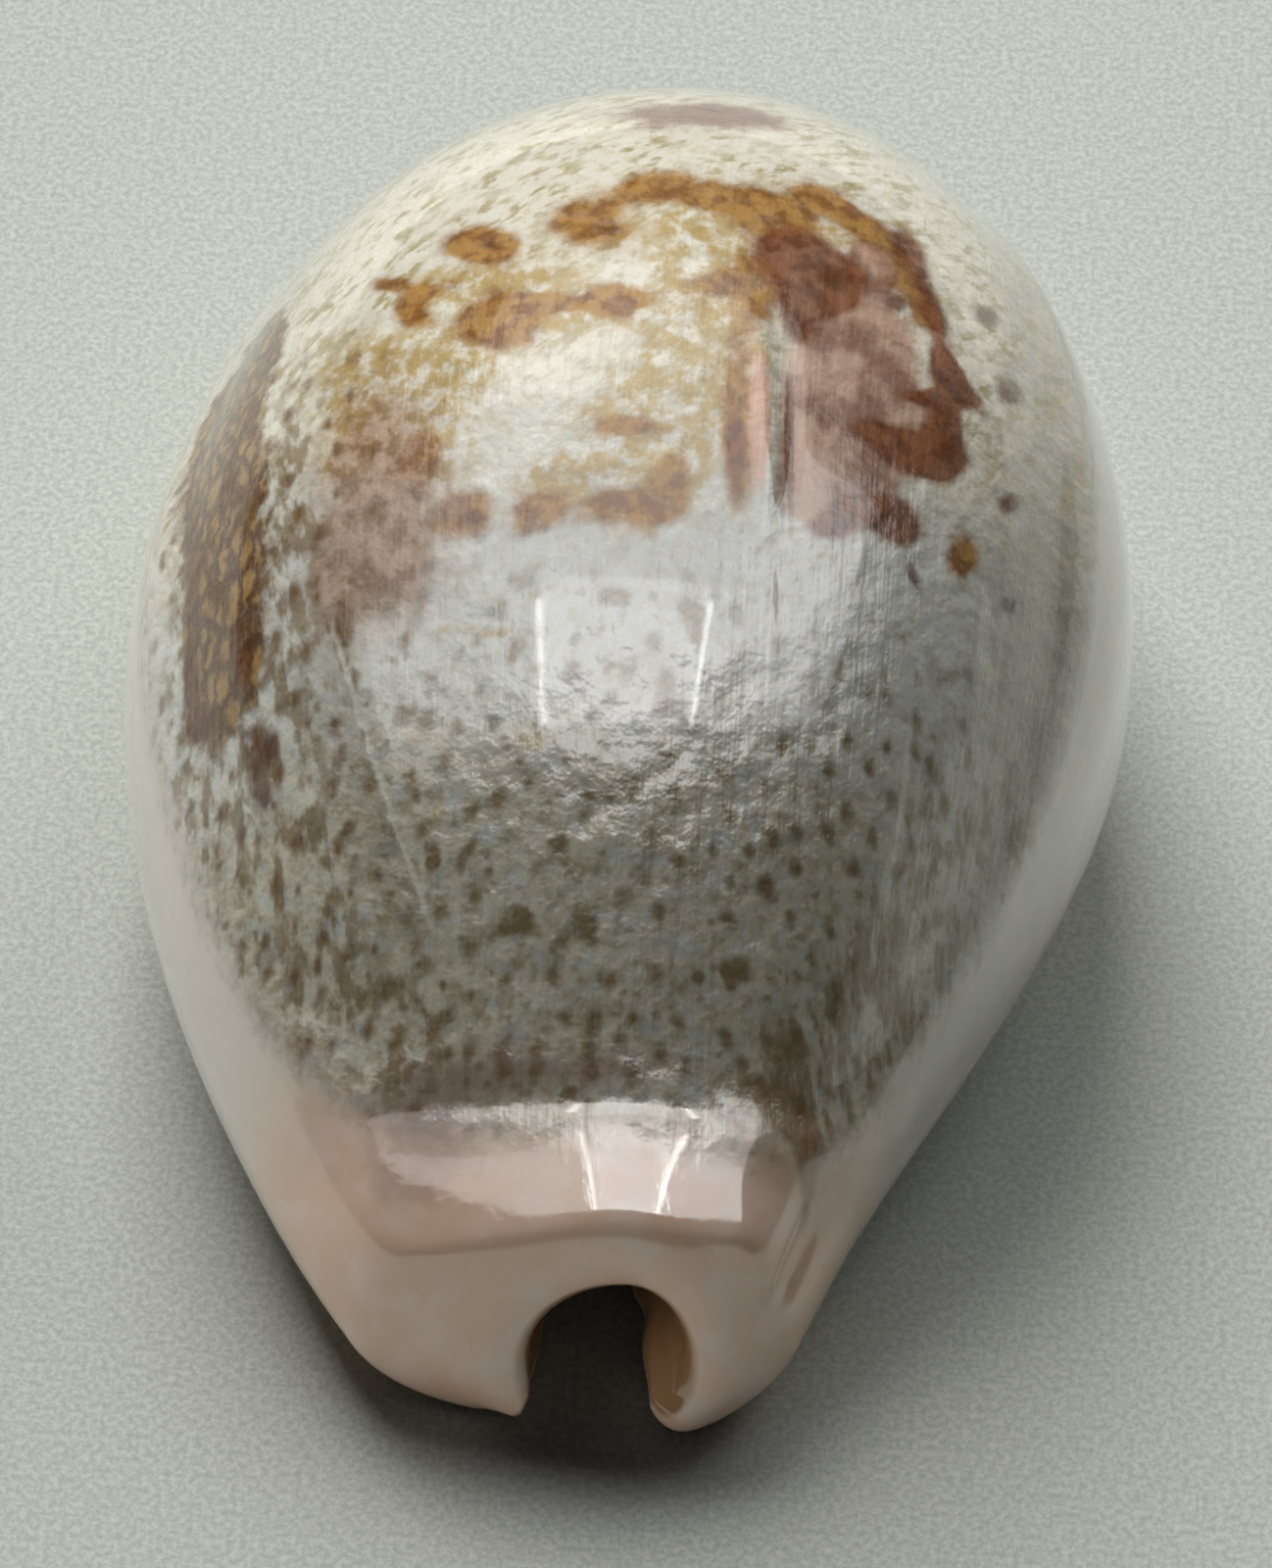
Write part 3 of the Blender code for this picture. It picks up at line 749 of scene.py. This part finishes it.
paint = lay(steps, paint, SPOT_BROWN, times(steps, dark, 0.8))
left_mauve = stained(steps, "left_mauve", cloud_r, 0.6, 0.1, 0.9, broad_r, 0.5)
left_tone = lay(steps, LEFT_LIGHT, LEFT_SHADE, fade(steps, cloud_b, 0.42, 0.62))
paint = lay(steps, paint, left_tone, times(steps, left_mauve, 0.8))
spire = stained(steps, "spire", cloud_g, 0.6, 0.3, 0.8, broad_g, 0.5)
paint = lay(steps, paint, SPIRE_BROWN, times(steps, spire, 0.95))

# The brown patch on the left flank: a darker net round paler islands.
warped = scaled(steps, fine, 0.5, 0.5, 0.5)
net_place = part(steps, "VectorMath", {0: face, 1: warped}, operation="ADD")
net_place = scaled(steps, net_place, 2.3, 1.3, 1.0)
veins = part(steps, "TexVoronoi", {"Vector": net_place, "Scale": 1.0}, "Distance",
             feature="DISTANCE_TO_EDGE")
left_net = stained(steps, "left_net", cloud_b, 0.8, 0.25, 0.60, broad_b, 0.8)
net_tone = lay(steps, NET_BROWN, NET_ISLAND, fade(steps, veins, 0.03, 0.30))
paint = lay(steps, paint, net_tone, times(steps, left_net, 0.92))
left_dark = stained(steps, "left_dark", cloud_r, 0.7, 0.2, 0.8, broad_r, 0.4)
paint = lay(steps, paint, NET_EDGE, times(steps, left_dark, 0.8))

# Flecks: soft olive ones over the front half, browner ones low on the left, and small paler ones
# between them. None reach the hind part.
flecks = stained(steps, "flecks", cloud_g, 0.7, 0.25, 0.95, broad_g, 0.4)
spread = fade(steps, maths(steps, "MULTIPLY_ADD", broad_b, 4.0, read["along"]), -0.5, -4.5)
flank = fade(steps, read["around"], -4.5, -6.5)
spread = maths(steps, "MAXIMUM", spread, times(steps, flank, fade(steps, read["along"], 3.5, 0.0)))
fleck_tone = lay(steps, FLECK_OLIVE, FLECK_BROWN, flank)
paint = lay(steps, paint, fleck_tone, times(steps, flecks, spread, 0.85))
shift = scaled(steps, fine, 0.35, 0.35, 0.35)
small_place = part(steps, "VectorMath", {0: mm, 1: shift}, operation="ADD")
small_cells = part(steps, "TexVoronoi", {"Vector": small_place, "Scale": 2.4}, "Distance")
small = times(steps, fade(steps, small_cells, 0.36, 0.10), fade(steps, broad_g, 0.30, 0.6), spread)
paint = lay(steps, paint, FLECK_PALE, times(steps, small, 0.6))

# The edge of growth on the left: a thin pale line that slants to the crest, a painted highlight
# along the step there, and a band of painted shadow on its left, below the step.
# Other pale lines are laid with it.
past = maths(steps, "MULTIPLY_ADD", fine_g, 0.2, weighed(steps, 0.93, 0.37))
past = maths(steps, "ADD", past, 7.57)
edge_front = fade(steps, read["along"], -11.6, -10.4)
edge_span = times(steps, edge_front, fade(steps, read["along"], -4.2, -5.2))
# The band beside the edge is painted shadow of the step.
beside = times(steps, fade(steps, past, -1.6, 0.0), fade(steps, past, 0.03, -0.03), edge_span)
paint = lay(steps, paint, EDGE_PAINTED_SHADOW, times(steps, beside, 0.4))
painted_edge_highlight = times(steps, fade(steps, past, -0.06, 0.02), fade(steps, past, 0.16, 0.04), edge_span)
# The pale lines and the painted highlight on the edge of growth are laid in one colour.
pale_lines = times(steps, read["pale_lines"], fade(steps, fine_b, 0.30, 0.55))
pale_lines = maths(steps, "MAXIMUM", pale_lines, painted_edge_highlight)
paint = lay(steps, paint, PALE_LINES_AND_EDGE_HIGHLIGHT, times(steps, pale_lines, 0.7))

# The scar of an old edge: a rib whose crest is pink and carries a painted highlight on its lit
# side, and a dark line in the furrow beside it.
# The pink strip is partly painted highlight on the lit side of the rib.
strip = stained(steps, "strip", fine_r, 0.6, 0.3, 0.7)
paint = lay(steps, paint, SCAR_PINK_AND_HIGHLIGHT, times(steps, strip, 0.85))
scar = stained(steps, "scar", fine_b, 0.4, 0.25, 0.7)
paint = lay(steps, paint, SCAR_BROWN, times(steps, scar, 0.85))

# Thick enamel over the sides, the base and both ends hides what lies below it.
cover = fade(steps, maths(steps, "MULTIPLY_ADD", fine_r, 1.4, read["enamel"]), 1.2, 2.8)
# Towards the right the margin turns greyer and darker, partly as painted shade.
right_and_shaded_side = fade(steps, read["around"], -2.0, 4.0)
margin = lay(steps, MARGIN_LEFT, MARGIN_RIGHT_AND_SHADE, right_and_shaded_side)
front_end = fade(steps, read["along"], -10.5, -15.0)
margin = lay(steps, margin, MARGIN_FRONT, front_end)
milky = times(steps, fade(steps, broad_g, 0.42, 0.66), 0.4)
margin = lay(steps, margin, MARGIN_CLOUD, milky)
paint = lay(steps, paint, margin, cover)
end_mauve = stained(steps, "end_mauve", cloud_g, 0.8, 0.1, 1.0, broad_r, 0.6)
paint = lay(steps, paint, END_MAUVE, times(steps, end_mauve, 0.5))
end_gold = stained(steps, "end_gold", cloud_b, 0.8, 0.15, 0.9, broad_b, 0.5)
paint = lay(steps, paint, END_GOLD, times(steps, end_gold, 0.65))

# The inner face is tan.
paint = lay(steps, paint, INNER_TAN, times(steps, read["inside"], 0.9))
steps.links.new(paint, surface.inputs["Base Color"])

# Glassy surface. The thin enamel of the back is duller and follows the swells and growth lines
# below it, so a reflection breaks up there, and stays whole on the thick enamel of the ends.
back = fade(steps, read["enamel"], 2.4, 0.8)
swells = part(steps, "TexNoise", {"Vector": mm, "Scale": 0.5, "Detail": 2.0})
ripple = part(steps, "TexNoise", {"Vector": mm, "Scale": 1.6, "Detail": 3.0})
line_place = scaled(steps, face, 5.0, 0.3, 1.0)
growth_lines = part(steps, "TexNoise", {"Vector": line_place, "Scale": 1.0, "Detail": 3.0})
relief = maths(steps, "MULTIPLY_ADD", growth_lines, 0.35, ripple)
relief = maths(steps, "MULTIPLY_ADD", swells, 2.0, relief)
relief = times(steps, relief, maths(steps, "MULTIPLY_ADD", times(steps, back, back), 3.6, 0.5))
bump = part(steps, "Bump", {"Height": relief, "Strength": 1.0, "Distance": RELIEF_HEIGHT})
steps.links.new(bump, surface.inputs["Normal"])
roughness = maths(steps, "MULTIPLY_ADD", fine_b, 0.14, times(steps, back, 0.2))
steps.links.new(roughness, surface.inputs["Roughness"])
surface.inputs["IOR"].default_value = ENAMEL_IOR
surface.inputs["Coat Weight"].default_value = 1.0
surface.inputs["Coat Roughness"].default_value = COAT_ROUGHNESS
surface.inputs["Coat IOR"].default_value = COAT_IOR
body.materials.append(enamel)

shell = bpy.data.objects.new("cowry", body)
bpy.context.scene.collection.objects.link(shell)
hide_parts("shell")
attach(shell, "root")

# Light. Two soft lamps stand behind the shell and throw its shadow towards the eye, and a weak one
# on the left reaches the shell alone. Wide panels over it are there for their sheen: their front
# edges end the shine on the back, and the strips between them give the sharp lines on the nose.


def lamp(name, size, brightness, place, turn, sheen=False):
    """A flat lamp that faces down until it is turned, by angles in degrees. Its power is the
    brightness of its face, times its area, times pi. Sheen lamps are seen in the gloss alone."""
    light = bpy.data.lights.new(name, "AREA")
    light.shape = "RECTANGLE"
    light.size, light.size_y = size
    light.energy = brightness * size[0] * size[1] * math.pi
    made = bpy.data.objects.new(name, light)
    made.location = place
    made.rotation_euler = [math.radians(angle) for angle in turn]
    made.visible_diffuse = not sheen
    made.visible_glossy = sheen
    bpy.context.scene.collection.objects.link(made)
    return made


lamp("back lamp", (0.45, 0.45), 11.6, (-0.17, 0.52, 0.55), (-45, 0, 18))
lamp("right lamp", (0.40, 0.40), 3.4, (0.35, 0.50, 0.50), (-51, 0, -35))
fill = lamp("left fill", (0.5, 0.5), 1.5, (-0.50, -0.20, 0.38), (55, 0, -68))
shell_alone = bpy.data.collections.new("shell alone")
shell_alone.objects.link(shell)
fill.light_linking.receiver_collection = shell_alone

PANEL_HEIGHT = 0.5
PANEL_FRONT = -0.43
PANES_BACK = -0.19


def panel(name, across, length, brightness):
    """A sheen lamp over a rectangle across and along the shell."""
    size = (across[1] - across[0], length[1] - length[0])
    lamp(name, size, brightness, (sum(across) / 2, sum(length) / 2, PANEL_HEIGHT), (0, 0, 0), True)


panel("middle pane", (-0.165, 0.15), (PANEL_FRONT, PANES_BACK), 3.2)
panel("left pane", (-0.7, -0.185), (PANEL_FRONT - 0.04, PANES_BACK), 1.5)
panel("right pane", (0.17, 0.65), (PANEL_FRONT, PANES_BACK), 2.4)
panel("left strip", (-0.175, -0.150), (PANEL_FRONT, PANES_BACK - 0.03), 13.0)
panel("right strip", (0.130, 0.160), (PANEL_FRONT, PANES_BACK - 0.03), 15.0)
panel("front strip", (-0.165, 0.15), (PANEL_FRONT, PANEL_FRONT + 0.025), 20.0)
panel("overhead panel", (-0.40, 0.20), (PANES_BACK, 0.30), 1.3)
panel("right panel", (0.20, 0.60), (PANES_BACK, 0.08), 2.2)
panel("hind panel", (-0.35, 0.22), (0.30, 0.55), 0.9)
panel("bright panel", (-0.16, 0.06), (0.18, 0.30), 2.5)
panel("small glint", (-0.21, -0.16), (0.14, 0.24), 14.0)

# A trace of bluish light comes from all round.
AIR_COLOUR = (0.92, 0.95, 1.0, 1)
AIR_STRENGTH = 0.015
world = bpy.data.worlds.new("air")
world.use_nodes = True
air = world.node_tree.nodes["Background"]
air.inputs["Color"].default_value = AIR_COLOUR
air.inputs["Strength"].default_value = AIR_STRENGTH
bpy.context.scene.world = world
bpy.context.scene.view_settings.view_transform = "Standard"

# Camera. It looks down at the front end, from a little to the right and 160 mm away, along a turn
# and a tilt in degrees, at a place given like the stations. The focal length is 4.85 times the
# picture's longer side.
CAMERA_TURN, CAMERA_TILT = math.radians(-3.5), math.radians(54)
CAMERA_AIM = (0.08, -3.4, 6.0)
CAMERA_DISTANCE = 0.160
SENSOR = 36
FOCAL_RATIO = 4.85

level, down = math.cos(CAMERA_TILT), math.sin(CAMERA_TILT)
look = Vector((math.sin(CAMERA_TURN) * level, math.cos(CAMERA_TURN) * level, -down))
aim = (Vector(CAMERA_AIM) - Vector(MIDDLE)) / 1000
lens = bpy.data.cameras.new("camera")
lens.lens = FOCAL_RATIO * SENSOR
lens.sensor_width = SENSOR
lens.clip_start = 0.01
lens.clip_end = 5
camera = bpy.data.objects.new("camera", lens)
camera.location = aim - look * CAMERA_DISTANCE
camera.rotation_euler = look.to_track_quat("-Z", "Y").to_euler()
bpy.context.scene.collection.objects.link(camera)
bpy.context.scene.camera = camera
bpy.context.view_layer.update()
